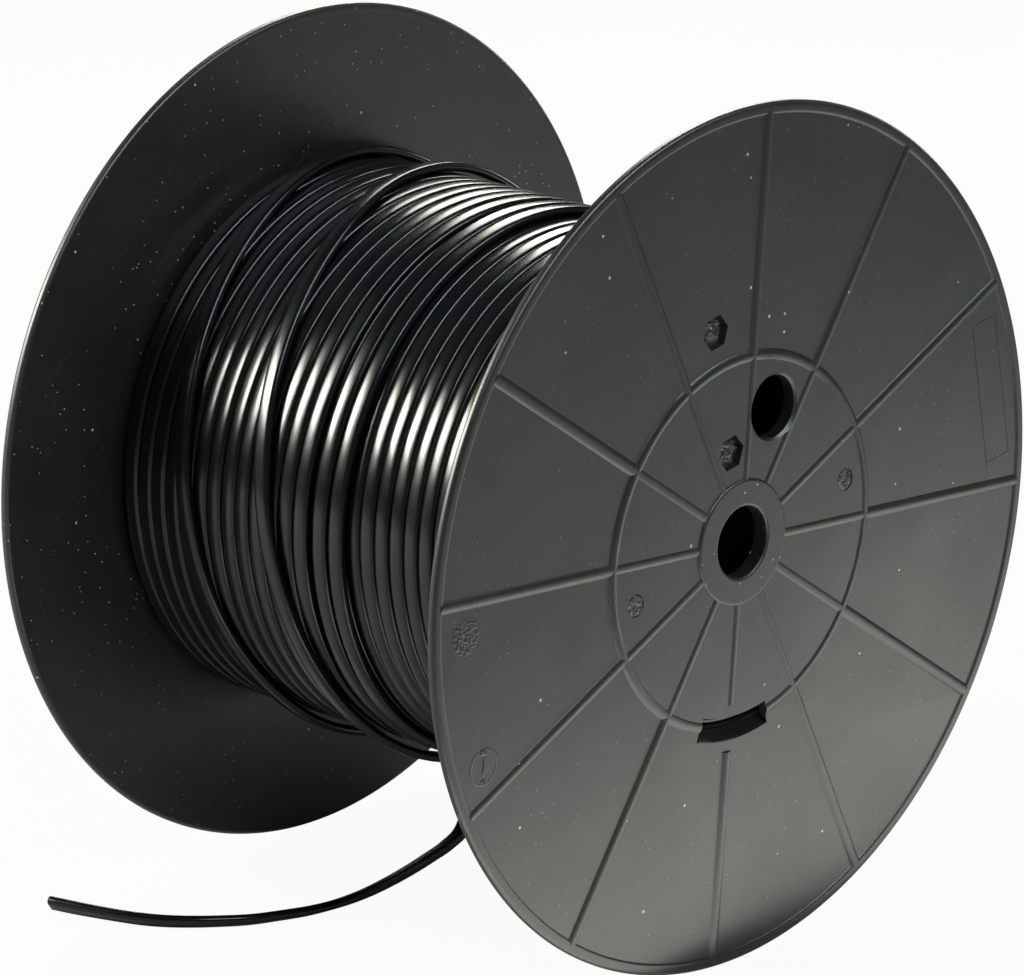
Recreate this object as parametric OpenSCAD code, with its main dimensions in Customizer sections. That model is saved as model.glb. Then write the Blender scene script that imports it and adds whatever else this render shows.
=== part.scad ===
// Black moulded cable reel that lies on its two rims, wound full with flat twin cable.
// The reel's axle runs along Y, the front flange faces -Y, and the floor is at Z = 0.

/* [Reel] */
// Diameter of both flanges
flange_d = 300; // [220:1:400]
// Width of the reel over both hub collars
reel_w = 204; // [140:1:260]
// Diameter of the axle bore
axle_d = 25; // [16:0.5:32]

/* [Flange] */
// Thickness of the flange web
web_t = 2.8; // [2.4:0.1:3]
// Thickness of the rim bead, along the axle
rim_t = 3.4; // [3.2:0.1:4]
// Width of the rim bead, along the radius
rim_w = 4.5; // [4:0.1:9]
// Rounding of the rim bead's edges
rim_round = 1.4; // [0.5:0.1:1.5]
// Number of radial ribs
rib_count = 12; // [8:1:16]
// Width of a rib where it meets the web
rib_w = 4.4; // [2:0.1:5]
// Height of a rib above the web
rib_h = 0.9; // [0.3:0.1:1]
// Angle of the first rib above the horizontal
rib_angle = -4.8; // [-10:0.1:10]
// Diameter of the raised middle of the flange
middle_d = 128; // [112:1:140]
// Height of the raised middle above the web
middle_h = 0.5; // [0.2:0.1:0.8]
// Height of the low ridge round the raised middle
ridge_h = 0.9; // [0.6:0.1:1]
// Width of that ridge
ridge_w = 4.4; // [3.6:0.1:6]

/* [Hub] */
// Diameter of the hub collar on the outer face
collar_d = 44; // [38:0.5:52]
// Height of that collar above the flange's inner face
collar_h = 4; // [3.8:0.1:6]
// Height of the spigot that centres the barrel on the inner face
spigot_h = 2; // [1:0.1:6]
// Rounding of the collar and of the bore's mouth
collar_round = 1; // [0.3:0.1:2]

/* [Drive hole] */
// Diameter of the hole for a driving pin
drive_d = 22; // [12:0.5:24]
// Distance of that hole from the axle
drive_r = 46.5; // [40:0.5:46.5]
// Angle of that hole above the horizontal
drive_angle = 70.2; // [66:0.1:75]
// Chamfer round that hole
drive_chamfer = 0.8; // [0.2:0.1:1.4]

/* [Cable slot] */
// Height of the slot for the cable's inner end, along the radius
slot_h = 8.5; // [7.6:0.1:10]
// Angle of the middle of the slot
slot_angle = -93; // [-99:0.1:-90]
// Angle that the slot spans
slot_span = 30; // [20:0.5:36]
// Clear land between the slot and the ends of the rib that it breaks
slot_land = 4; // [2:0.1:8]

/* [Moulding marks] */
// Width of a hexagonal pocket across its corners
hex_d = 12.6; // [8:0.1:13]
// Depth of a hexagonal pocket
hex_depth = 2.2; // [1:0.1:2.3]
// Distance of the outer hexagonal pocket from the axle
hex_far_r = 77; // [76:0.5:90]
// Distance of the inner hexagonal pocket from the axle
hex_near_r = 33; // [31:0.5:36]
// Angle of both hexagonal pockets
hex_angle = 100.2; // [96:0.1:105]
// Diameter of a gate mark
gate_d = 8; // [4:0.1:10]
// Distance of both gate marks from the axle
gate_r = 54; // [48:0.5:55]
// Angle of the first gate mark
gate_angle = 10.2; // [6:0.1:14]
// Diameter of a round dial mark
dial_d = 14; // [8:0.5:16]
// Space between a dial mark and the rim bead
dial_gap = 4; // [1:0.5:20]
// Length of the bare label frame, across the radius
frame_l = 53; // [30:1:54]
// Height of the bare label frame, along the radius
frame_h = 13; // [8:0.5:16]
// Space between the label frame and the rim bead
frame_gap = 5; // [1:0.5:20]

/* [Barrel] */
// Outer diameter of the barrel that the cable is wound on
barrel_d = 121; // [120:0.5:123]
// Wall of the barrel
barrel_t = 2.4; // [1.6:0.1:2.6]
// Depth of the groove that seats each end of the barrel
seat_depth = 1.6; // [0.8:0.1:2]
// Clearance on each side of the barrel in its groove
seat_gap = 0.2; // [0.1:0.05:0.4]

/* [Cable] */
// Width of the flat cable
cable_w = 6.6; // [5:0.1:7]
// Thickness of the flat cable
cable_t = 3.3; // [2.5:0.1:3.6]
// Space between neighbouring turns
turn_gap = 0.1; // [0:0.01:0.4]
// Space between layers
layer_gap = 0.05; // [0.05:0.01:0.4]
// Number of full layers on the barrel
layer_count = 10; // [4:1:11]
// Number of turns in the unfinished layer on top, from the rear flange
top_turns = 15; // [4:1:17]
// Clearance between the wound cable and the reel
wind_gap = 0.15; // [0.1:0.05:0.4]
// Clearance under the loose last turns
loose_gap = 0.35; // [0.3:0.05:0.6]
// Slope of the cable's inner end through its slot
start_slope = 9; // [5:0.5:20]
// Twist of the loose outer end along its length
tail_twist = 50; // [0:1:60]

/* [Hidden] */
$fn = 96;
// Overrun of the cuts past the faces that they open
overrun = 1;
// Direction of the axle
axle_dir = [0, 1, 0];
inner_w = reel_w - 2 * collar_h;
flange_r = flange_d / 2;
axle_r = axle_d / 2;
collar_r = collar_d / 2;
middle_r = middle_d / 2;
barrel_r = barrel_d / 2;
spigot_r = barrel_r - barrel_t - seat_gap;
face_z = web_t + middle_h;
rim_in_r = flange_r - rim_w;

// Ribs and the ridge, both low arcs on the web
arc_sink_share = 0.5;
rib_step = 360 / rib_count;
rib_in_share = 0.3;
rib_from = collar_r - rib_in_share * rib_w;
rib_to = rim_in_r + rib_in_share * rib_w;

// Slot, just outside the barrel's seat
seat_land_share = 0.1;
slot_r0 = barrel_r + seat_gap + seat_land_share * barrel_t;
slot_r1 = slot_r0 + slot_h;
slot_mid = (slot_r0 + slot_r1) / 2;
slot_rib = (round((slot_angle - rib_angle) / rib_step) + rib_count) % rib_count;

// Moulding marks
gate_depth = 0.8;
gate_nub_share = 0.3;
dial_depth = 0.2;
dial_r = rim_in_r - dial_gap - dial_d / 2;
dial_angles = [180.2, 200.4];
frame_line = 0.8;
frame_rise = 0.1;
frame_angle = gate_angle;
frame_r = rim_in_r - frame_gap - frame_h / 2;
hex_turn = 30;

// Wound cable
turn_pitch_wish = cable_w + turn_gap;
wind_w = inner_w - 2 * wind_gap;
turn_count = floor(wind_w / turn_pitch_wish);
turn_pitch = wind_w / turn_count;
layer_pitch = cable_t + layer_gap;
wind_bore_r = barrel_r + wind_gap;
wind_end = (wind_w - turn_pitch) / 2;
wind_top_r = wind_bore_r + cable_t / 2 + (layer_count - 1) * layer_pitch;
top_layer_r = wind_top_r + layer_pitch;

// Last turns of the cable, in the order that they were wound: angle, place along the axle, and layer.
// The first lies beside the unfinished layer, and from the next they cross over it towards the rear.
last_step = 7.5;
last_turns = [
    [300, -6.8, 0], [22.5, -6.8, 0], [-22.5, -6.8, 1], [-60, 0, 1], [-132, 13.3, 1],
    [-160, 19, 1], [-180, 24.8, 1], [-220, 36.5, 1], [-270, 52, 1], [-492, 52, 1],
    [-540, 63.8, 1], [-580, 73.3, 1], [-620, 83.8, 1], [-650, 91.5, 1], [-720, 92, 1]
];

// Loose outer end of the cable: from the back of the winding down to the floor, and along it to the cut
tail_route = [
    [99.2, 92, 134], [98.2, 91.5, 118], [96, 91, 102], [92, 90, 86.5], [86.5, 88, 71.5],
    [79, 85, 57.5], [70, 80.5, 44.5], [59.5, 74, 32], [47.5, 65.5, 20.5], [34.5, 55.5, 10.5],
    [20, 46.5, 4.5], [7, 42, 2.8], [-5, 39, 2.4], [-18, 35.8, 2.3], [-32, 33, 2.3],
    [-46, 31.2, 2.3], [-59, 31.2, 2.4], [-71, 33.5, 2.4], [-81.5, 37.5, 2.5], [-91.5, 42.5, 2.5],
    [-100, 49, 2.6], [-107.5, 56, 2.7], [-114, 64, 2.8], [-119, 73.5, 2.9], [-124, 88.5, 2.9],
    [-127, 99, 3], [-128, 103.3, 3]
];
tail_twist_power = 1.5;
half_steps = 4;

// Rectangle with rounded corners, from one corner to the opposite one
module soft_box(low, high, round) {
    size = high - low;
    translate(low + [0, round])
        square(size - [0, 2 * round]);
    translate(low + [round, 0])
        square(size - [2 * round, 0]);
    for (x = [low.x + round, high.x - round], y = [low.y + round, high.y - round])
        translate([x, y])
            circle(r = round);
}

// Low arc that stands on the line of the page, with a foot sunk below it
module low_arc(width, height) {
    arc_r = (pow(width / 2, 2) + pow(height, 2)) / (2 * height);
    foot = arc_sink_share * web_t;
    intersection() {
        translate([0, height - arc_r])
            circle(r = arc_r);
        translate([-arc_r, -foot])
            square([2 * arc_r, foot + height]);
    }
}

// Half section of the flange: across the page is the radius, and up is outwards along the axle
module flange_section() {
    difference() {
        union() {
            translate([axle_r, 0])
                square([flange_r - rim_w / 2 - axle_r, web_t]);
            translate([axle_r, 0])
                square([middle_r - axle_r, face_z]);
            translate([middle_r, web_t])
                low_arc(ridge_w, ridge_h);
            soft_box([rim_in_r, 0], [flange_r, rim_t], rim_round);
            soft_box([axle_r, 0], [collar_r, collar_h], collar_round);
            translate([axle_r, -spigot_h])
                square([spigot_r - axle_r, spigot_h + web_t]);
        }
        translate([spigot_r, 0])
            square([barrel_t + 2 * seat_gap, seat_depth]);
    }
}

// One length of low rib along the radius
module rib(from_r, to_r) {
    translate([from_r, 0, web_t])
        rotate([90, 0, 90])
            linear_extrude(height = to_r - from_r)
                low_arc(rib_w, rib_h);
}

// All ribs, with the one that meets the cable slot broken round it
module ribs() {
    for (i = [0 : rib_count - 1])
        rotate([0, 0, rib_angle + i * rib_step])
            if (i == slot_rib) {
                rib(rib_from, slot_r0 - slot_land);
                rib(slot_r1 + slot_land, rib_to);
            } else {
                rib(rib_from, rib_to);
            }
}

// Opening for the cable's inner end, smaller all round by a clearance
module slot_opening(clearance, low, high) {
    end_angle = clearance / slot_mid * 180 / PI;
    rotate([0, 0, slot_angle - slot_span / 2 + end_angle])
        rotate_extrude(angle = slot_span - 2 * end_angle)
            translate([slot_r0 + clearance, low])
                square([slot_h - 2 * clearance, high - low]);
}

// Hole for a driving pin, whose chamfer also clears the ribs beside it
module drive_hole() {
    hole_r = drive_d / 2;
    low = -spigot_h - overrun;
    high = face_z + overrun;
    rotate([0, 0, drive_angle])
        translate([drive_r, 0, 0])
            rotate_extrude()
                polygon([
                    [0, low], [hole_r, low], [hole_r, face_z - drive_chamfer],
                    [hole_r + drive_chamfer + overrun, high], [0, high]
                ]);
}

// Six-sided pocket sunk from a face, with two of its sides across the radius
module hex_pocket(at_r, top) {
    rotate([0, 0, hex_angle])
        translate([at_r, 0, top - hex_depth])
            rotate([0, 0, hex_turn])
                cylinder(d = hex_d, h = hex_depth + overrun, $fn = 6);
}

// Round gate mark with the stub of its gate
module gate_mark(angle) {
    rotate([0, 0, angle])
        translate([gate_r, 0, face_z - gate_depth])
            difference() {
                cylinder(d = gate_d, h = gate_depth + overrun);
                translate([0, 0, -overrun])
                    cylinder(d = gate_nub_share * gate_d, h = overrun + gate_depth / 2);
            }
}

// Raised outline that a label would be stuck in
module label_frame() {
    line = [frame_line, frame_line, 0];
    outer = [frame_h, frame_l, frame_rise + overrun];
    rotate([0, 0, frame_angle])
        translate([frame_r, 0, web_t + frame_rise - outer.z / 2])
            difference() {
                cube(outer, center = true);
                translate([0, 0, outer.z / 2])
                    cube(outer - 2 * line + [0, 0, outer.z], center = true);
            }
}

// One flange as moulded, with its inner face at zero and its outer face upwards
module flange() {
    difference() {
        union() {
            rotate_extrude()
                flange_section();
            ribs();
            label_frame();
        }
        slot_opening(0, -overrun, face_z + rim_t);
        drive_hole();
        hex_pocket(hex_far_r, web_t);
        hex_pocket(hex_near_r, face_z);
        gate_mark(gate_angle);
        gate_mark(gate_angle + 180);
        for (angle = dial_angles)
            rotate([0, 0, angle])
                translate([dial_r, 0, web_t - dial_depth])
                    cylinder(d = dial_d, h = dial_depth + overrun);
    }
}

// Places a flange, or what goes with it, at the front of the reel
module at_front() {
    translate([0, -inner_w / 2, flange_r])
        rotate([90, 0, 0])
            children();
}

module front_flange() {
    color("#3a3b39")
        at_front()
            flange();
}

module rear_flange() {
    color("#343534")
        rotate([0, 0, 180])
            at_front()
                flange();
}

// Plain tube that the cable is wound on, with both ends in the flanges' grooves
module barrel() {
    color("#2c2d2c")
        at_front()
            rotate_extrude()
                translate([barrel_r - barrel_t, -inner_w - seat_depth])
                    square([barrel_t, inner_w + 2 * seat_depth]);
}

// Cross-section of one turn of the flat cable
module turn_section(at_r, along) {
    flat = cable_w - cable_t;
    translate([at_r, along]) {
        square([cable_t, flat], center = true);
        for (side = [-1, 1])
            translate([0, side * flat / 2])
                circle(d = cable_t);
    }
}

// Turns of one layer side by side from the rear, joined from a radius below them
module turn_row(from_r, at_r, count) {
    translate([from_r, -wind_end])
        square([at_r - from_r, (count - 1) * turn_pitch]);
    for (i = [0 : count - 1])
        turn_section(at_r, i * turn_pitch - wind_end);
}

// Full layers of cable as one turned body, whose last layer shows its turns
module cable_winding() {
    color("#1d1e20")
        at_front()
            translate([0, 0, -inner_w / 2])
                rotate_extrude() {
                    translate([wind_bore_r, -wind_w / 2])
                        square([wind_top_r - layer_pitch / 2 - wind_bore_r, wind_w]);
                    turn_row(wind_bore_r, wind_top_r, turn_count);
                }
}

// Unfinished layer on top of them, as one turned body
module cable_top_layer() {
    color("#1d1e20")
        at_front()
            translate([0, 0, -inner_w / 2])
                rotate_extrude()
                    turn_row(top_layer_r - cable_t / 2, top_layer_r, top_turns);
}

// Inner end of the cable, which slopes out through the front slot and is trimmed flush
module cable_start() {
    color("#242527")
        at_front()
            intersection() {
                slot_opening(2 * wind_gap, 0, face_z);
                rotate([0, 0, slot_angle])
                    translate([slot_mid, 0, face_z / 2])
                        rotate([90 - start_slope, 0, 0])
                            linear_extrude(height = slot_mid, center = true)
                                rotate([0, 0, 90])
                                    turn_section(0, 0);
            }
}

// Outline of the cable for its loose end: two half circles, listed round the section
function cable_outline() = [
    for (side = [1, -1], k = [0 : half_steps])
        let (angle = (k / half_steps - side / 2) * 180)
            [side * (cable_w - cable_t) / 2 + cos(angle) * cable_t / 2, sin(angle) * cable_t / 2]
];

function unit(v) = v / norm(v);

// Points of the last turns on the winding, one for each step of the angle
function last_points() = [
    for (angle = [last_turns[0].x : -last_step : last_turns[len(last_turns) - 1].x])
        let (
            along = lookup(angle, [for (p = last_turns) [p.x, p.y]]),
            layer = lookup(angle, [for (p = last_turns) [p.x, p.z]]),
            at_r = top_layer_r + loose_gap - layer_gap + layer * layer_pitch
        )
            [at_r * cos(angle), along, flange_r + at_r * sin(angle)]
];

// Last turns of the cable and its loose outer end, as one length
module cable_tail() {
    outline = cable_outline();
    sides = len(outline);
    wound = last_points();
    route = concat(wound, tail_route);
    last = len(route) - 1;
    points = [
        for (i = [0 : last])
            let (
                along = unit(route[min(i + 1, last)] - route[max(i - 1, 0)]),
                level = unit(axle_dir - (axle_dir * along) * along),
                free_share = max(i - len(wound), 0) / len(tail_route),
                twist = tail_twist * pow(free_share, tail_twist_power),
                width_dir = level * cos(twist) + cross(along, level) * sin(twist),
                thick_dir = cross(along, width_dir)
            )
                for (p = outline)
                    route[i] + width_dir * p.x + thick_dir * p.y
    ];
    walls = [
        for (i = [0 : last - 1], k = [0 : sides - 1])
            let (next = (k + 1) % sides)
                [i * sides + k, i * sides + next, (i + 1) * sides + next, (i + 1) * sides + k]
    ];
    caps = [
        [for (k = [0 : sides - 1]) sides - 1 - k],
        [for (k = [0 : sides - 1]) last * sides + k]
    ];
    color("#1d1e20")
        polyhedron(points, concat(walls, caps));
}

front_flange();
rear_flange();
barrel();
cable_winding();
cable_top_layer();
cable_start();
cable_tail();
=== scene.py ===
import bpy
import numpy as np
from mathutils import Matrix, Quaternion, Vector


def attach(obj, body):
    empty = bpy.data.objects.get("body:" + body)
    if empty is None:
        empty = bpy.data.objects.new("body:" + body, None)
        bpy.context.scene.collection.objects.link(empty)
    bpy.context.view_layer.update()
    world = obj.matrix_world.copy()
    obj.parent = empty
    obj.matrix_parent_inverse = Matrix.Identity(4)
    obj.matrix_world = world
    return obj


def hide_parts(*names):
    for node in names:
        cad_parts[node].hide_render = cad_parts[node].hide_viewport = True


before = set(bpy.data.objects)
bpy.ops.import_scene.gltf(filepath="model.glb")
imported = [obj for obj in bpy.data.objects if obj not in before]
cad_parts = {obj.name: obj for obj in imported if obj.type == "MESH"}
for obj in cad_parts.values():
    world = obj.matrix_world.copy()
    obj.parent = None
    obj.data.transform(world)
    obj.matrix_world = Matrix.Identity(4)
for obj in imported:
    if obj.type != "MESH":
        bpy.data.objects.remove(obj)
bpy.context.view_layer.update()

# Camera: a long lens, a little above the reel and off to its left, so that the front flange is seen
# from its left edge and the wound cable shows between the two flanges.
camera_place = Vector((-1.66348, -1.54312, 0.87131))
camera_look = Vector((0.69762, 0.64875, -0.30405))
camera_data = bpy.data.cameras.new("camera")
camera_data.lens = 243.0
camera_data.sensor_width = 36.0
camera_data.clip_end = 60.0
camera = bpy.data.objects.new("camera", camera_data)
camera.location = camera_place
camera.rotation_mode = "QUATERNION"
camera.rotation_quaternion = camera_look.to_track_quat("-Z", "Y")
bpy.context.scene.collection.objects.link(camera)
bpy.context.scene.camera = camera
bpy.context.scene.view_settings.view_transform = "Standard"

# Loose end of the cable: flat twin cable with a glossy black jacket, pulled off the last turn at the
# back of the reel. It drops to the floor by its own weight, keeps a little of its curl and twist from
# the winding, and ends in a plain cut that shows both of its cores.
MM = 0.001
cable_w = 6.6
cable_t = 3.3
tail_twist = 50.0
tail_twist_power = 1.5
tail_route = np.array([
    (99.4, 92, 150), (99.2, 92, 134), (98.2, 91.5, 118), (96, 91, 102), (92, 90, 86.5),
    (86.5, 88, 71.5), (79, 85, 57.5), (70, 80.5, 44.5), (59.5, 74, 32), (47.5, 65.5, 20.5),
    (34.5, 55.5, 10.5), (20, 46.5, 4.5), (7, 42, 2.8), (-5, 39, 2.4), (-18, 35.8, 2.3),
    (-32, 33, 2.3), (-46, 31.2, 2.3), (-59, 31.2, 2.4), (-71, 33.5, 2.4), (-81.5, 37.5, 2.5),
    (-91.5, 42.5, 2.5), (-100, 49, 2.6), (-107.5, 56, 2.7), (-114, 64, 2.8), (-119, 73.5, 2.9),
    (-124, 88.5, 2.9), (-127, 99, 3), (-128, 103.3, 3),
])


def through(knots, values, at):
    """Smooth curve through values at knots: on each span, the cubic whose slope at a knot is the mean
    slope of the values on both sides of it."""
    values = np.asarray(values, float)
    knots = np.asarray(knots, float)
    slopes = np.gradient(values, knots, axis=0)
    i = np.clip(np.searchsorted(knots, at, side="right") - 1, 0, len(knots) - 2)
    span = knots[i + 1] - knots[i]
    t = (at - knots[i]) / span
    if values.ndim > 1:
        t, span = t[:, None], span[:, None]
    start = values[i] * (1 + 2 * t) * (1 - t) ** 2 + slopes[i] * span * t * (1 - t) ** 2
    end = values[i + 1] * t**2 * (3 - 2 * t) - slopes[i + 1] * span * t**2 * (1 - t)
    return start + end


def unit(v):
    """Each vector divided by its own length."""
    return v / np.linalg.norm(v, axis=-1, keepdims=True)


def cable_outline(steps):
    """Section of the flat cable as width and thickness: a half circle, and the same one turned by half
    a turn, each moved out by half the flat between them."""
    a = np.linspace(-np.pi / 2, np.pi / 2, steps + 1)
    side = np.stack([(cable_w - cable_t) / 2 + np.cos(a) * cable_t / 2, np.sin(a) * cable_t / 2], -1)
    return np.concatenate([side, -side])


def cable_rings(path, roll, steps=8):
    """Section of the cable carried along a path. At each point the width lies level with the axle's
    direction, turned about the path by the roll in degrees."""
    along = unit(np.gradient(path, axis=0))
    axle = np.array([0.0, 1.0, 0.0])
    level = unit(axle - (along @ axle)[:, None] * along)
    upright = np.cross(along, level)
    turn = np.radians(np.broadcast_to(roll, len(path)))[:, None]
    across = level * np.cos(turn) + upright * np.sin(turn)
    outward = np.cross(along, across)
    outline = cable_outline(steps)
    return path[:, None] + across[:, None] * outline[:, :1] + outward[:, None] * outline[:, 1:]


def skin(rings, closed=False):
    """Faces over a row of closed rings: one four-sided face between neighbouring points of
    neighbouring rings, and a flat cap over each end unless the row itself is closed. Each corner also
    gets the length along the row and the length round the ring, in metres."""
    count, sides = rings.shape[:2]
    spans = count if closed else count - 1
    i, k = np.meshgrid(np.arange(spans), np.arange(sides), indexing="ij")
    j, n = (i + 1) % count, (k + 1) % sides
    quads = np.stack([i * sides + k, j * sides + k, j * sides + n, i * sides + n], -1).reshape(-1, 4)
    middle = rings.mean(1)
    steps = np.linalg.norm(np.roll(middle, -1, 0) - middle, axis=1)[:spans]
    run = np.concatenate([[0.0], np.cumsum(steps)])
    edges = np.linalg.norm(np.roll(rings[0], -1, 0) - rings[0], axis=1)
    girth = np.concatenate([[0.0], np.cumsum(edges)])
    uv = np.stack([
        np.stack([run[i], girth[k]], -1), np.stack([run[i + 1], girth[k]], -1),
        np.stack([run[i + 1], girth[k + 1]], -1), np.stack([run[i], girth[k + 1]], -1),
    ], -2).reshape(-1, 4, 2)
    a, b, c, d = (rings.reshape(-1, 3)[quads[:, q]] for q in range(4))
    volume = (np.einsum("ij,ij->i", a, np.cross(b, c)) + np.einsum("ij,ij->i", a, np.cross(c, d))).sum()
    caps = [] if closed else [np.arange(sides)[::-1], (count - 1) * sides + np.arange(sides)]
    if volume < 0:
        quads, uv, caps = quads[:, ::-1], uv[:, ::-1], [cap[::-1] for cap in caps]
    return rings.reshape(-1, 3), quads, uv * MM, caps


def make_piece(name, skins, material):
    """One mesh object from several skins, given in millimetres, that rides on the reel."""
    base = np.cumsum([0] + [len(s[0]) for s in skins])
    points = np.concatenate([s[0] for s in skins]) * MM
    quads = np.concatenate([s[1] + base[q] for q, s in enumerate(skins)])
    caps = [cap + base[q] for q, s in enumerate(skins) for cap in s[3]]
    corners = np.concatenate([quads.ravel(), *caps]).astype(np.int32)
    sizes = np.concatenate([np.full(len(quads), 4), [len(cap) for cap in caps]]).astype(np.int32)
    mesh = bpy.data.meshes.new(name)
    mesh.vertices.add(len(points))
    mesh.vertices.foreach_set("co", points.ravel())
    mesh.loops.add(len(corners))
    mesh.loops.foreach_set("vertex_index", corners)
    mesh.polygons.add(len(sizes))
    mesh.polygons.foreach_set("loop_start", (np.cumsum(sizes) - sizes).astype(np.int32))
    mesh.polygons.foreach_set("use_smooth", sizes == 4)
    layer = mesh.uv_layers.new(name="length")
    flat = np.zeros((len(corners), 2))
    flat[: quads.size] = np.concatenate([s[2] for s in skins]).reshape(-1, 2)
    layer.data.foreach_set("uv", flat.ravel())
    mesh.update(calc_edges=True)
    mesh.validate()
    piece = bpy.data.objects.new(name, mesh)
    bpy.context.scene.collection.objects.link(piece)
    mesh.materials.append(material)
    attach(piece, "root")
    return piece


def new_nodes(tree, *rows):
    """Adds shader nodes from rows of name, type and settings, and returns them by name."""
    made = {}
    for name, kind, settings in rows:
        node = tree.nodes.new(kind)
        node.name = node.label = name
        for key, value in settings.items():
            if isinstance(key, str) and hasattr(node, key):
                setattr(node, key, value)
            else:
                node.inputs[key].default_value = value
        made[name] = node
    return made


def join(tree, nodes, *wires):
    """Wires node outputs to node inputs, each given as name and socket."""
    for from_name, out, to_name, into in wires:
        tree.links.new(nodes[from_name].outputs[out], nodes[to_name].inputs[into])


def new_group(name, inputs, outputs):
    """Empty shader node group with its sockets: name and default for an input, name and kind for an output."""
    group = bpy.data.node_groups.new(name, "ShaderNodeTree")
    for socket, value in inputs:
        kind = "NodeSocketVector" if value is None else "NodeSocketFloat"
        made = group.interface.new_socket(socket, in_out="INPUT", socket_type=kind)
        if value is not None:
            made.default_value = value
    for socket, kind in outputs:
        group.interface.new_socket(socket, in_out="OUTPUT", socket_type=kind)
    nodes = new_nodes(group, ("in", "NodeGroupInput", {}), ("out", "NodeGroupOutput", {}))
    return group, nodes


# Dust that settles on both plastics: cells of a point pattern, of which a few hold a round speck.
dust, dust_nodes = new_group(
    "dust_specks",
    [("Place", None), ("Cell Size", 0.002), ("Speck Size", 0.1), ("Share", 0.2)],
    [("Specks", "NodeSocketFloat")],
)
dust_nodes |= new_nodes(
    dust,
    ("cells per metre", "ShaderNodeMath", {"operation": "DIVIDE", 0: 1.0}),
    ("points", "ShaderNodeTexVoronoi", {"voronoi_dimensions": "3D", "feature": "F1"}),
    ("parts", "ShaderNodeSeparateColor", {}),
    ("chosen", "ShaderNodeMath", {"operation": "LESS_THAN"}),
    ("own size", "ShaderNodeMath", {"operation": "MULTIPLY"}),
    ("inside", "ShaderNodeMath", {"operation": "LESS_THAN"}),
    ("speck", "ShaderNodeMath", {"operation": "MULTIPLY"}),
)
join(
    dust, dust_nodes,
    ("in", "Cell Size", "cells per metre", 1),
    ("in", "Place", "points", "Vector"),
    ("cells per metre", 0, "points", "Scale"),
    ("points", "Color", "parts", "Color"),
    ("parts", "Red", "chosen", 0),
    ("in", "Share", "chosen", 1),
    ("parts", "Green", "own size", 0),
    ("in", "Speck Size", "own size", 1),
    ("points", "Distance", "inside", 0),
    ("own size", 0, "inside", 1),
    ("chosen", 0, "speck", 0),
    ("inside", 0, "speck", 1),
    ("speck", 0, "out", "Specks"),
)

jacket_black = (0.0028, 0.0036, 0.0043, 1.0)
jacket_dust = (0.20, 0.20, 0.19, 1.0)
jacket = bpy.data.materials.new("glossy_black_jacket")
jacket.use_nodes = True
jacket_tree = jacket.node_tree
jacket_nodes = {"surface": jacket_tree.nodes["Principled BSDF"]}
jacket_nodes["surface"].inputs["IOR"].default_value = 1.53
jacket_nodes |= new_nodes(
    jacket_tree,
    ("place", "ShaderNodeTexCoord", {}),
    ("dust", "ShaderNodeGroup", {"node_tree": dust, "Cell Size": 0.004, "Speck Size": 0.06, "Share": 0.12}),
    ("length", "ShaderNodeMapping", {"vector_type": "POINT", "Scale": (8.0, 700.0, 1.0)}),
    ("drawn streaks", "ShaderNodeTexNoise", {"Scale": 1.0, "Detail": 3.0, "Roughness": 0.6}),
    ("smears", "ShaderNodeTexNoise", {"Scale": 60.0, "Detail": 3.0}),
    ("roughness", "ShaderNodeMapRange", {"From Min": 0.3, "From Max": 0.7, "To Min": 0.17, "To Max": 0.28}),
    ("colour", "ShaderNodeMix", {"data_type": "RGBA", "A": jacket_black, "B": jacket_dust}),
    ("bump", "ShaderNodeBump", {"Strength": 0.1, "Distance": 0.0002}),
)
join(
    jacket_tree, jacket_nodes,
    ("place", "Object", "dust", "Place"),
    ("place", "UV", "length", "Vector"),
    ("length", "Vector", "drawn streaks", "Vector"),
    ("place", "Object", "smears", "Vector"),
    ("smears", "Fac", "roughness", "Value"),
    ("dust", "Specks", "colour", "Factor"),
    ("drawn streaks", "Fac", "bump", "Height"),
    ("colour", "Result", "surface", "Base Color"),
    ("roughness", "Result", "surface", "Roughness"),
    ("bump", "Normal", "surface", "Normal"),
)

tail_spans = len(tail_route) - 1
tail_at = np.linspace(0, tail_spans, 8 * tail_spans + 1)
tail_path = through(np.arange(len(tail_route)), tail_route, tail_at)
tail_roll = tail_twist * (tail_at / tail_at[-1]) ** tail_twist_power
tail = make_piece("loose_end", [skin(cable_rings(tail_path, tail_roll, 10))], jacket)
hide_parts("cable_tail")

# Cores in the cut: two strands of bare copper, each in its own pale insulation, pressed into the
# jacket side by side and cut off with it, so that they stand a hair out of the cut face.
core_apart = 2.9
core_d = 2.3
copper_d = 1.1
core_out = 0.35
copper_out = 0.6
core_depth = 2.0
core_edge = 0.15
core_sides = 16


def core_stubs(diameter, out):
    """Round stub at each core's place in the cut: circles along the cable's end, the last one drawn
    in for a rounded edge."""
    end = unit(tail_path[-1] - tail_path[-2])
    level = unit(np.array([0.0, 1.0, 0.0]) - end[1] * end)
    turn = np.radians(tail_roll[-1])
    across = level * np.cos(turn) + np.cross(end, level) * np.sin(turn)
    outward = np.cross(end, across)
    a = np.arange(core_sides)[:, None] * 2 * np.pi / core_sides
    circle = across * np.cos(a) + outward * np.sin(a)
    depth = np.array([-core_depth, out - core_edge, out])[:, None, None]
    radius = diameter / 2 * np.array([1.0, 1.0, 0.8])[:, None, None]
    return [
        skin(tail_path[-1] + across * side * core_apart / 2 + end * depth + circle * radius)
        for side in (-1, 1)
    ]


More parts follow.
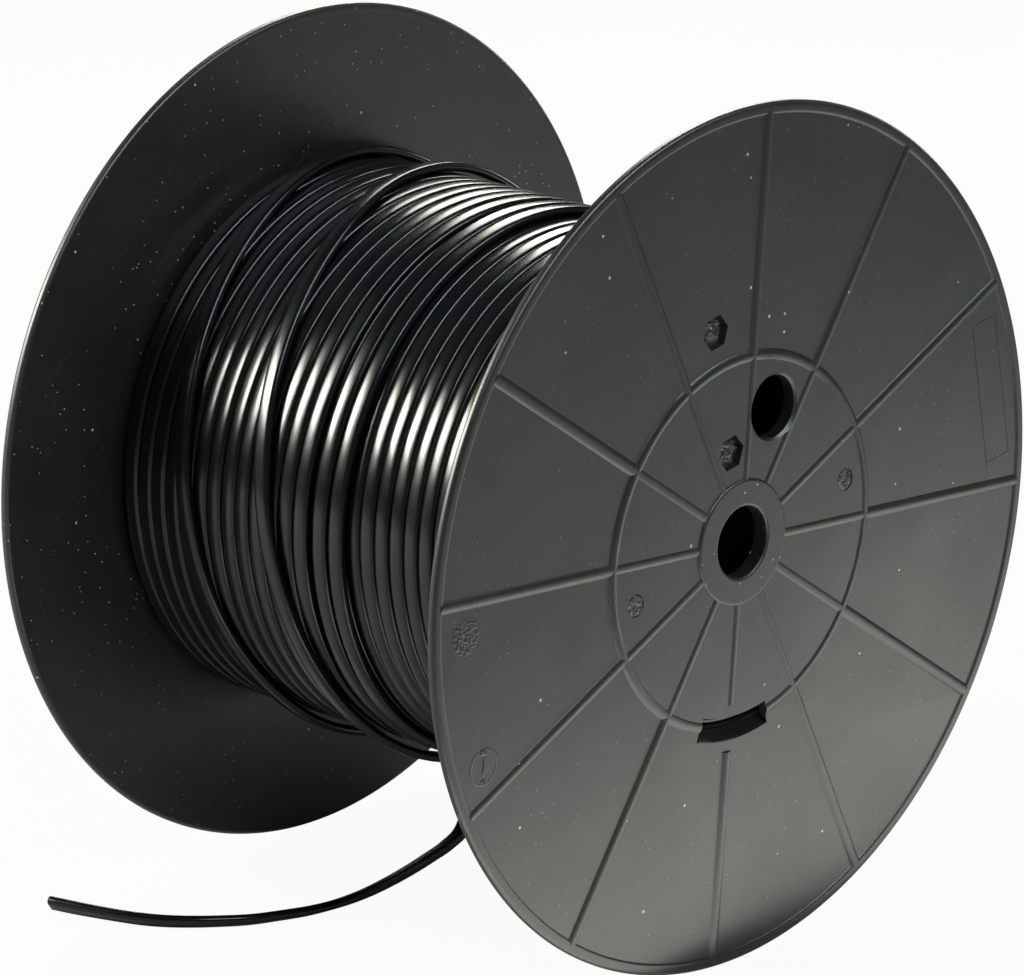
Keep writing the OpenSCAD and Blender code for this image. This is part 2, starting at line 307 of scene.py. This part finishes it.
def mottled(name, spots, dark, light, roughness, metallic):
    """Material whose colour wanders between a dark and a light tone. The spots are the noise's scale and
    detail."""
    material = bpy.data.materials.new(name)
    material.use_nodes = True
    nodes = {"surface": material.node_tree.nodes["Principled BSDF"]} | new_nodes(
        material.node_tree,
        ("place", "ShaderNodeTexCoord", {}),
        ("spots", "ShaderNodeTexNoise", {"Scale": spots[0], "Detail": spots[1]}),
        ("colour", "ShaderNodeMix", {"data_type": "RGBA", "A": (*dark, 1.0), "B": (*light, 1.0)}),
    )
    nodes["surface"].inputs["Roughness"].default_value = roughness
    nodes["surface"].inputs["Metallic"].default_value = metallic
    join(
        material.node_tree, nodes,
        ("place", "Object", "spots", "Vector"),
        ("spots", "Fac", "colour", "Factor"),
        ("colour", "Result", "surface", "Base Color"),
    )
    return material


insulation = mottled("pale_core_insulation", (900.0, 3.0), (0.16, 0.155, 0.15), (0.50, 0.48, 0.45), 0.55, 0.0)
copper = mottled("cut_copper", (4000.0, 2.0), (0.42, 0.18, 0.09), (0.80, 0.42, 0.25), 0.4, 1.0)
core_ends = make_piece("cut_core_ends", core_stubs(core_d, core_out), insulation)
copper_ends = make_piece("cut_copper_ends", core_stubs(copper_d, copper_out), copper)

# Wound cable: the same flat cable laid side by side on the barrel, ten full layers and an eleventh that
# stops short. Both top layers are one helix each; of the layers below only the ends can be seen, so
# they are plain rings at the flanges round a solid core.
axle_z = 150.0
layer_r = 92.3
layer_pitch = 3.5
lane_pitch = 6.69
first_lane_y = 91.0
full_lanes = first_lane_y - lane_pitch * np.arange(28)
lane_change = 145.0
wind_step = 3.0
wave_every, wave_spare = 75.0, 90.0
wave_along, wave_radius, wave_roll = 0.1, 0.08, 1.5
layers_below = 9
ends_at = 94.4
first_layer_r = 62.3
ring_pitch = 3.35
core_in_r, core_out_r, core_half_w = 61.0, 89.0, 91.0
ring_angle = np.linspace(0, 360, 97)[:-1]
wind_random = np.random.default_rng(7)


def on_reel(angle, along, radius):
    """Point at an angle round the axle, in degrees from level on the right, and at a radius and place
    along it."""
    a = np.radians(angle)
    return np.stack([radius * np.cos(a), along, axle_z + radius * np.sin(a)], -1)


def laid(knots):
    """Cable through knots of angle, place and radius, with slow random waves of its place, radius and
    roll, as hand-guided winding leaves them. Returns angle, centre line and roll."""
    angle = np.arange(knots[0, 0], knots[-1, 0], -wind_step)
    turned = knots[0, 0] - angle
    along, radius = through(knots[0, 0] - knots[:, 0], knots[:, 1:], turned).T
    waves = np.arange(0, turned[-1] + wave_spare, wave_every)
    along = along + through(waves, wind_random.normal(0, wave_along, len(waves)), turned)
    radius = radius + through(waves, wind_random.normal(0, wave_radius, len(waves)), turned)
    roll = through(waves, wind_random.normal(0, wave_roll, len(waves)), turned)
    return angle, on_reel(angle, along, radius), roll


def end_ring(along, radius):
    """One closed turn of the cable: its section with the thickness along the radius, turned round the
    axle."""
    outline = cable_outline(5)
    angle = ring_angle[:, None]
    return skin(on_reel(angle, along + outline[:, 0] + 0 * angle, radius + outline[:, 1]), closed=True)


full_knots = np.array([(lane_change - 360.0 * n, y, layer_r) for n, y in enumerate(full_lanes[::-1])])
full_knots = np.concatenate([[(lane_change + 180.0, full_knots[0, 1], layer_r - layer_pitch)], full_knots])
_, full_path, full_roll = laid(full_knots)
full_layer = make_piece(
    "wound_full_layer", [skin(cable_rings(full_path, full_roll, 7))], jacket,
)
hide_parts("cable_winding")
core_corners = [
    (core_out_r, core_half_w), (core_in_r, core_half_w), (core_in_r, -core_half_w), (core_out_r, -core_half_w),
]
core = np.stack([on_reel(ring_angle, np.full(len(ring_angle), y), r) for r, y in core_corners], 1)
below = make_piece(
    "wound_layers_below",
    [skin(core, closed=True)]
    + [end_ring(y, first_layer_r + ring_pitch * k) for k in range(layers_below) for y in (-ends_at, ends_at)],
    jacket,
)
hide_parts("cable_winding")

# Unfinished layer and last turns: the cable goes on over the full layers from the rear flange, stops half
# way, and then runs twice round the reel on top of its own turns, back to the rear. These last turns were
# laid on loosely with a steep lead, so they hump over the top and sag below, and go on as the loose end.
top_r = layer_r + layer_pitch
loose_r = top_r + layer_pitch
split_angle = 35.0
flat_by, flat_from = 720.0, 90.0
top_lanes = np.array([92.3, 85.2, 78.5, 71.8, 65.1, 58.4, 51.7, 45.0, 38.3, 31.6, 24.7, 17.8, 10.9, 1.7])
last_turns = np.array([
    (145, -5.8, top_r), (90, -6.8, top_r), (40, -7, top_r), (10, -6.3, top_r + 0.8), (-20, -3, top_r + 2.8),
    (-50, 1.5, loose_r), (-90, 8, loose_r + 1), (-115, 11.8, loose_r + 1.4), (-132, 13.3, loose_r + 0.6),
    (-160, 18.8, loose_r), (-180, 24.8, loose_r), (-210, 33.4, loose_r), (-240, 42, loose_r),
    (-270, 52.8, loose_r), (-292, 57, loose_r + 0.8), (-320, 56.5, loose_r), (-380, 53.5, loose_r),
    (-450, 51, loose_r + 1), (-474, 50.2, loose_r + 1.4), (-492, 51.3, loose_r + 0.6), (-520, 58.3, loose_r),
    (-550, 65.6, loose_r), (-580, 73.3, loose_r), (-610, 81.2, loose_r), (-640, 90.3, loose_r),
    (-656, 92.4, loose_r + 0.4), (-685, 92.6, loose_r), (-720, 92, 99.4),
])
top_knots = np.array([
    (lane_change + 360.0 * (len(top_lanes) - n), y, top_r) for n, y in enumerate(top_lanes)
])
top_knots = np.concatenate([[(top_knots[0, 0] + 180.0, top_lanes[0], top_r)], top_knots, last_turns])
top_angle, top_path, top_roll = laid(top_knots)
top_path = np.concatenate([top_path, tail_path[:1]])
top_roll = np.concatenate([top_roll * np.clip((top_angle + flat_by) / flat_from, 0, 1), [0.0]])
split = int(np.searchsorted(-top_angle, split_angle))
top_layer = make_piece(
    "wound_top_layer", [skin(cable_rings(top_path[: split + 1], top_roll[: split + 1], 7))], jacket,
)
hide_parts("cable_top_layer")
last = make_piece(
    "last_turns", [skin(cable_rings(top_path[split:], top_roll[split:], 8))], jacket,
)
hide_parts("cable_tail")

# Flanges and barrel: two like mouldings in black plastic with a satin, slightly scuffed skin, and the
# tube between them that the cable is wound on. The CAD meshes stay and only get this finish: a fine
# grain, drifts of dust, faint scratches, and cloudy marks where the plastic was shot in.
gate_r = 54.0
gate_angle = np.radians(10.2)

scuffs, scuff_nodes = new_group(
    "straight_scratches",
    [("Place", None), ("Angle", 0.0), ("Length", 0.02), ("Width", 0.0003), ("Share", 0.1)],
    [("Scratches", "NodeSocketFloat")],
)
scuff_nodes |= new_nodes(
    scuffs,
    ("turned", "ShaderNodeVectorRotate", {"rotation_type": "Y_AXIS"}),
    ("parts", "ShaderNodeSeparateXYZ", {}),
    ("lengths", "ShaderNodeMath", {"operation": "DIVIDE"}),
    ("widths", "ShaderNodeMath", {"operation": "DIVIDE"}),
    ("sides", "ShaderNodeMath", {"operation": "MULTIPLY", 1: 40.0}),
    ("stretched", "ShaderNodeCombineXYZ", {}),
    ("lines", "ShaderNodeTexNoise", {"Scale": 1.0, "Detail": 1.0}),
    ("least", "ShaderNodeMath", {"operation": "SUBTRACT", 0: 0.82}),
    ("most", "ShaderNodeMath", {"operation": "ADD", 1: 0.04}),
    ("kept", "ShaderNodeMapRange", {}),
)
join(
    scuffs, scuff_nodes,
    ("in", "Place", "turned", "Vector"),
    ("in", "Angle", "turned", "Angle"),
    ("turned", "Vector", "parts", "Vector"),
    ("parts", "X", "lengths", 0),
    ("in", "Length", "lengths", 1),
    ("parts", "Z", "widths", 0),
    ("in", "Width", "widths", 1),
    ("parts", "Y", "sides", 0),
    ("lengths", 0, "stretched", "X"),
    ("sides", 0, "stretched", "Y"),
    ("widths", 0, "stretched", "Z"),
    ("stretched", "Vector", "lines", "Vector"),
    ("in", "Share", "least", 1),
    ("least", 0, "most", 0),
    ("lines", "Fac", "kept", "Value"),
    ("least", 0, "kept", "From Min"),
    ("most", 0, "kept", "From Max"),
    ("kept", "Result", "out", "Scratches"),
)

plastic_dark = (0.0020, 0.0020, 0.0018, 1.0)
plastic_light = (0.0200, 0.0204, 0.0188, 1.0)
plastic_dust = (0.52, 0.52, 0.49, 1.0)
hub_place = np.array([0.0, 0.0, 0.15])
gate_place = gate_r * MM * np.array([np.cos(gate_angle), 0.0, np.sin(gate_angle)])
plastic = bpy.data.materials.new("satin_black_plastic")
plastic.use_nodes = True
plastic_tree = plastic.node_tree
plastic_nodes = {"surface": plastic_tree.nodes["Principled BSDF"]} | new_nodes(
    plastic_tree,
    ("place", "ShaderNodeTexCoord", {}),
    ("parts", "ShaderNodeSeparateXYZ", {}),
    ("side", "ShaderNodeMath", {"operation": "SIGN"}),
    ("across", "ShaderNodeMath", {"operation": "MULTIPLY"}),
    ("on the face", "ShaderNodeCombineXYZ", {}),
    ("first gate", "ShaderNodeVectorMath", {"operation": "DISTANCE", 1: hub_place + gate_place}),
    ("second gate", "ShaderNodeVectorMath", {"operation": "DISTANCE", 1: hub_place - gate_place}),
    ("nearest gate", "ShaderNodeMath", {"operation": "MINIMUM"}),
    ("near a gate", "ShaderNodeMapRange", {"From Min": 0.026, "From Max": 0.006}),
    ("flow", "ShaderNodeTexNoise", {"Scale": 160.0, "Detail": 4.0, "Roughness": 0.6, "Distortion": 1.2}),
    ("cloud", "ShaderNodeMath", {"operation": "MULTIPLY"}),
    ("smears", "ShaderNodeTexNoise", {"Scale": 14.0, "Detail": 5.0, "Roughness": 0.62}),
    ("drifts", "ShaderNodeTexNoise", {"Scale": 22.0, "Detail": 3.0}),
    ("dust share", "ShaderNodeMapRange", {"From Min": 0.38, "From Max": 0.68, "To Min": 0.14, "To Max": 1.0}),
    ("fine dust", "ShaderNodeGroup", {"node_tree": dust, "Cell Size": 0.0030, "Speck Size": 0.135}),
    ("coarse dust", "ShaderNodeGroup", {
        "node_tree": dust, "Cell Size": 0.010, "Speck Size": 0.06, "Share": 0.5,
    }),
    ("dim dust", "ShaderNodeMath", {"operation": "MULTIPLY", 1: 0.9}),
    ("all dust", "ShaderNodeMath", {"operation": "MAXIMUM"}),
    ("long scratches", "ShaderNodeGroup", {"node_tree": scuffs, "Angle": 0.6, "Length": 0.03}),
    ("short scratches", "ShaderNodeGroup", {"node_tree": scuffs, "Angle": -1.1, "Length": 0.012}),
    ("all scratches", "ShaderNodeMath", {"operation": "MAXIMUM"}),
    ("faint", "ShaderNodeMath", {"operation": "MULTIPLY", 1: 0.16}),
    ("marks", "ShaderNodeMath", {"operation": "MAXIMUM"}),
    ("moulded grain", "ShaderNodeTexNoise", {"Scale": 1500.0, "Detail": 3.0}),
    ("waves", "ShaderNodeTexNoise", {"Scale": 38.0, "Detail": 2.0}),
    ("wavy grain", "ShaderNodeMath", {"operation": "MULTIPLY_ADD", 1: 7.0}),
    ("relief", "ShaderNodeMath", {"operation": "MULTIPLY_ADD", 1: 2.5}),
    ("tone", "ShaderNodeMix", {"data_type": "RGBA", "A": plastic_dark, "B": plastic_light}),
    ("colour", "ShaderNodeMix", {"data_type": "RGBA", "B": plastic_dust}),
    ("roughness", "ShaderNodeMapRange", {"From Min": 0.3, "From Max": 0.7, "To Min": 0.34, "To Max": 0.45}),
    ("dusty roughness", "ShaderNodeMath", {"operation": "MULTIPLY_ADD", 1: 0.1}),
    ("bump", "ShaderNodeBump", {"Strength": 0.35, "Distance": 0.0001}),
)
plastic_nodes["surface"].inputs["IOR"].default_value = 1.58
plastic_nodes["surface"].inputs["Specular IOR Level"].default_value = 0.8
join(
    plastic_tree, plastic_nodes,
    ("place", "Object", "parts", "Vector"),
    ("parts", "Y", "side", 0),
    ("parts", "X", "across", 0),
    ("side", 0, "across", 1),
    ("across", 0, "on the face", "X"),
    ("parts", "Z", "on the face", "Z"),
    ("on the face", "Vector", "first gate", 0),
    ("on the face", "Vector", "second gate", 0),
    ("first gate", "Value", "nearest gate", 0),
    ("second gate", "Value", "nearest gate", 1),
    ("nearest gate", 0, "near a gate", "Value"),
    ("place", "Object", "flow", "Vector"),
    ("near a gate", "Result", "cloud", 0),
    ("flow", "Fac", "cloud", 1),
    ("place", "Object", "smears", "Vector"),
    ("place", "Object", "drifts", "Vector"),
    ("drifts", "Fac", "dust share", "Value"),
    ("place", "Object", "fine dust", "Place"),
    ("dust share", "Result", "fine dust", "Share"),
    ("place", "Object", "coarse dust", "Place"),
    ("fine dust", "Specks", "dim dust", 0),
    ("dim dust", 0, "all dust", 0),
    ("coarse dust", "Specks", "all dust", 1),
    ("place", "Object", "long scratches", "Place"),
    ("place", "Object", "short scratches", "Place"),
    ("long scratches", "Scratches", "all scratches", 0),
    ("short scratches", "Scratches", "all scratches", 1),
    ("all scratches", 0, "faint", 0),
    ("all dust", 0, "marks", 0),
    ("faint", 0, "marks", 1),
    ("place", "Object", "moulded grain", "Vector"),
    ("place", "Object", "waves", "Vector"),
    ("waves", "Fac", "wavy grain", 0),
    ("moulded grain", "Fac", "wavy grain", 2),
    ("cloud", 0, "relief", 0),
    ("wavy grain", 0, "relief", 2),
    ("smears", "Fac", "tone", "Factor"),
    ("tone", "Result", "colour", "A"),
    ("marks", 0, "colour", "Factor"),
    ("smears", "Fac", "roughness", "Value"),
    ("all dust", 0, "dusty roughness", 0),
    ("roughness", "Result", "dusty roughness", 2),
    ("relief", 0, "bump", "Height"),
    ("colour", "Result", "surface", "Base Color"),
    ("dusty roughness", 0, "surface", "Roughness"),
    ("bump", "Normal", "surface", "Normal"),
)
for name in ("front_flange", "rear_flange", "barrel"):
    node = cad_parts[name]
    node.data.materials.clear()
    node.data.materials.append(plastic)

# Rims: the rounded bead round each flange, moulded in one with it. These rings lie over the solid's bead
# with a fine round section, so that its edge and its highlight run smoothly.
rim_in_r = 145.5
rim_out_r = 150.02
rim_inner_y = 97.99
rim_outer_y = 101.42
rim_round = 1.4
rim_angle = np.linspace(0, 2 * np.pi, 361)[:-1]


def rim_section():
    """Rounded rectangle as radius and place along the axle: quarter circles of the rounding about four
    corners, one after another, with the flats between them."""
    a = np.linspace(0, np.pi / 2, 9)
    out_r, in_r = rim_out_r - rim_round, rim_in_r + rim_round
    outer_y, inner_y = rim_outer_y - rim_round, rim_inner_y + rim_round
    corners = [
        (out_r, outer_y, 0.0), (in_r, outer_y, np.pi / 2),
        (in_r, inner_y, np.pi), (out_r, inner_y, 1.5 * np.pi),
    ]
    return np.concatenate([
        np.stack([r + rim_round * np.cos(a + turn), y + rim_round * np.sin(a + turn)], -1)
        for r, y, turn in corners
    ])


def rim_ring(side):
    """The rim's section turned round the axle, on the front or the rear side."""
    section = rim_section()
    c, n = np.cos(rim_angle)[:, None], np.sin(rim_angle)[:, None]
    return np.stack([section[:, 0] * c, side * section[:, 1] + 0 * c, axle_z + section[:, 0] * n], -1)


for name, side in (("front_rim_bead", -1), ("rear_rim_bead", 1)):
    make_piece(name, [skin(rim_ring(side), closed=True)], plastic)

# Prints of the mould: two round inserts near the rim and two gates near the hub leave rough spots in each
# flange, of fine torn grains, and one of them has a short upright ridge. The gates and the floors of the
# hexagonal pockets are more coarsely crumpled. They are part of the moulding.
dial_r, dial_floor_y, dial_rise = 6.9, 100.6, 0.19
gate_spot_r, gate_floor_y, gate_rise = 3.9, 100.5, 0.5
dial_places = ((-134.5, 149.53), (-126.06, 103.12))
gate_places = ((53.15, 159.56), (-53.15, 140.44))
pocket_r, pocket_rise, pocket_dome = 5.3, 0.1, 0.7
pocket_places = ((-13.635, 225.783, 98.6), (-5.844, 182.479, 99.10))
grain_count, line_grain_count, coarse_count, coarse_size = 240, 60, 36, 2.4
grain_width, grain_height = (0.1, 0.26), (0.04, 0.32)
grain_limit = 0.5
grain_reach_share, heap_share, heap_out_share = 0.86, 0.24, 0.64
disc_rings, disc_sides, disc_sink, disc_edge, disc_eye = 64, 144, 0.3, 0.08, 0.06
mark_ring_share, mark_ring_height, mark_ring_width = 0.87, 0.08, 0.25
ridge_height, ridge_width, ridge_half, ridge_lean = 0.3, 0.32, 2.6, 0.1
print_random = np.random.default_rng(11)


def grains(radius, line, coarse):
    """Centres, widths and heights of the grains: scattered evenly over the disc, or with a line in two heaps
    above and below it."""
    count = coarse_count if coarse else line_grain_count if line else grain_count
    r = radius * grain_reach_share * np.sqrt(print_random.random(count))
    a = print_random.uniform(0, 2 * np.pi, count)
    place = np.stack([r * np.cos(a), r * np.sin(a)], -1)
    if line:
        place = heap_share * place + np.sign(place[:, 1:]) * np.array([0.0, heap_out_share * radius])
    size = coarse_size if coarse else 1.0
    width = size * print_random.uniform(*grain_width, count)
    return place, width, size * print_random.uniform(*grain_height, count)


def print_disc(side, x, z, radius, floor_y, rise, line=False, coarse=False, dome=0.0):
    """Disc as rings from its sunk edge to its middle. Its height is the sum of the grains, each a bell curve
    about its own centre, over a low dome, and with a line also a faint ring and a short upright ridge. On the
    rear flange the disc is turned by half a turn about the upright, as the whole moulding is."""
    r = np.concatenate([[radius, radius], np.linspace(radius - disc_edge, disc_eye, disc_rings)])[:, None]
    a = np.linspace(0, 2 * np.pi, disc_sides + 1)[:-1]
    u, v = r * np.cos(a), r * np.sin(a)
    place, width, height = grains(radius, line, coarse)
    apart = (u[..., None] - place[:, 0]) ** 2 + (v[..., None] - place[:, 1]) ** 2
    bumps = (height * np.exp(-apart / (2 * width**2))).sum(-1)
    if line:
        bumps = bumps + mark_ring_height * np.exp(-(((r - mark_ring_share * radius) / mark_ring_width) ** 2))
        ridge = ((u - ridge_lean * v) / ridge_width) ** 2 + (v / ridge_half) ** 6
        bumps = bumps + ridge_height * np.exp(-ridge)
    up = rise + np.minimum(bumps, grain_limit) + dome * (1 - (r / radius) ** 2)
    up[0], up[1] = -disc_sink, rise
    return skin(np.stack([-side * (x + u), side * (floor_y + up), z + v], -1))


for name, side in (("front_mould_prints", -1), ("rear_mould_prints", 1)):
    discs = [
        print_disc(side, x, z, dial_r, dial_floor_y, dial_rise, line)
        for (x, z), line in zip(dial_places, (False, True))
    ]
    discs += [print_disc(side, x, z, gate_spot_r, gate_floor_y, gate_rise, coarse=True) for x, z in gate_places]
    discs += [
        print_disc(side, x, z, pocket_r, floor_y, pocket_rise, coarse=True, dome=pocket_dome)
        for x, z, floor_y in pocket_places
    ]
    make_piece(name, discs, plastic)

# Inner end of the cable: the start of the first turn, led out through the front flange's slot and cut off
# flush with the face. It lies in the slot a little twisted, and dips in under the first turns.
start_roll = 60.0
start_cut_y = -100.75
start_angle = np.linspace(-107.2, -79.0, 60)
start_s = np.linspace(0, 1, 60)
start_path = on_reel(start_angle, -98.7 + 1.6 * start_s, 68.2 - 0.2 * start_s)
start_rings = cable_rings(start_path, start_roll, 10)
start_rings[..., 1] = np.maximum(start_rings[..., 1], start_cut_y)
start = make_piece("cable_inner_end", [skin(start_rings)], jacket)
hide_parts("cable_start")

# Floor: one wide white sheet that the reel stands on. Seen straight it is white with the reel's shadow on
# it, and in the black plastic it shows as the lamps light it, dark under the reel.
floor_half = 9.0
floor_mesh = bpy.data.meshes.new("floor")
floor_corners = [(-1, -1), (1, -1), (1, 1), (-1, 1)]
floor_mesh.from_pydata([(x * floor_half, y * floor_half, 0) for x, y in floor_corners], [], [(0, 1, 2, 3)])
floor = bpy.data.objects.new("floor", floor_mesh)
bpy.context.scene.collection.objects.link(floor)
sheet = bpy.data.materials.new("white_floor_sheet")
sheet.use_nodes = True
sheet_tree = sheet.node_tree
sheet_nodes = {
    "surface": sheet_tree.nodes["Principled BSDF"], "out": sheet_tree.nodes["Material Output"],
} | new_nodes(
    sheet_tree,
    ("ray", "ShaderNodeLightPath", {}),
    ("seen or through", "ShaderNodeMath", {"operation": "MAXIMUM"}),
    ("mirrored", "ShaderNodeMath", {"operation": "MULTIPLY", 1: 0.03}),
    ("share", "ShaderNodeMath", {"operation": "MULTIPLY_ADD", 1: 0.95}),
    ("white", "ShaderNodeEmission", {}),
    ("both", "ShaderNodeMixShader", {}),
)
sheet_nodes["white"].inputs["Color"].default_value = (1.0, 1.0, 1.0, 1.0)
sheet_nodes["surface"].inputs["Base Color"].default_value = (0.44, 0.44, 0.43, 1.0)
sheet_nodes["surface"].inputs["Roughness"].default_value = 0.9
join(
    sheet_tree, sheet_nodes,
    ("ray", "Is Camera Ray", "seen or through", 0),
    ("ray", "Is Transmission Ray", "seen or through", 1),
    ("ray", "Is Glossy Ray", "mirrored", 0),
    ("seen or through", 0, "share", 0),
    ("mirrored", 0, "share", 2),
    ("share", 0, "both", 0),
    ("surface", 0, "both", 1),
    ("white", 0, "both", 2),
    ("both", 0, "out", "Surface"),
)
floor_mesh.materials.append(sheet)

# Light: a soft box behind the reel on the left draws the bright band across the wound cable, and one behind
# it on the right the lines at its top. A long strip overhead and a box on the right light the rims, two
# low panels before the reel its front face, and the sky is pale near the horizon only.


def soft_box(name, place, aim, size, radiance, colour, turn=0.0):
    """Rectangular area lamp whose face has the given radiance: its power is pi times area times radiance. The
    turn, in degrees, is about the line from the lamp to its aim."""
    data = bpy.data.lights.new(name, "AREA")
    data.shape = "RECTANGLE"
    data.size, data.size_y = size
    data.energy = np.pi * size[0] * size[1] * radiance
    data.color = colour
    lamp = bpy.data.objects.new(name, data)
    lamp.location = place
    lamp.rotation_mode = "QUATERNION"
    facing = (Vector(aim) - Vector(place)).to_track_quat("-Z", "Y")
    lamp.rotation_quaternion = facing @ Quaternion((0.0, 0.0, 1.0), np.radians(turn))
    bpy.context.scene.collection.objects.link(lamp)


warm, cool = (1.0, 0.98, 0.90), (0.84, 0.95, 1.0)
soft_box("key_box", (-0.87, 0.90, 0.69), (0.0, 0.0, 0.19), (0.45, 0.42), 34.0, warm)
soft_box("overhead_strip", (0.0, -1.15, 1.55), (0.0, 0.0, 0.15), (2.2, 0.22), 14.0, cool)
soft_box("back_box", (0.86, 0.78, 0.9), (0.0, 0.0, 0.25), (0.45, 0.75), 10.0, warm)
soft_box("side_box", (1.5, 0.1, 0.35), (0.0, 0.0, 0.15), (0.4, 0.4), 5.0, cool)
soft_box("near_low_panel", (0.01, -0.18, 0.004), (0.01, -0.18, 1.0), (0.46, 0.13), 1.8, warm, 6.0)
soft_box("far_low_panel", (0.37, -0.28, 0.004), (0.37, -0.28, 1.0), (0.35, 0.14), 1.8, warm, 28.0)
world = bpy.data.worlds.new("studio")
world.use_nodes = True
bpy.context.scene.world = world
world_nodes = {"back": world.node_tree.nodes["Background"]} | new_nodes(
    world.node_tree,
    ("place", "ShaderNodeTexCoord", {}),
    ("parts", "ShaderNodeSeparateXYZ", {}),
    ("sky", "ShaderNodeValToRGB", {}),
)
ramp = world_nodes["sky"].color_ramp
ramp.elements[0].position, ramp.elements[0].color = 0.2, (0.1, 0.1, 0.1, 1.0)
ramp.elements[1].position, ramp.elements[1].color = 0.5, (0.04, 0.04, 0.042, 1.0)
join(
    world.node_tree, world_nodes,
    ("place", "Generated", "parts", "Vector"),
    ("parts", "Z", "sky", "Fac"),
    ("sky", "Color", "back", "Color"),
)
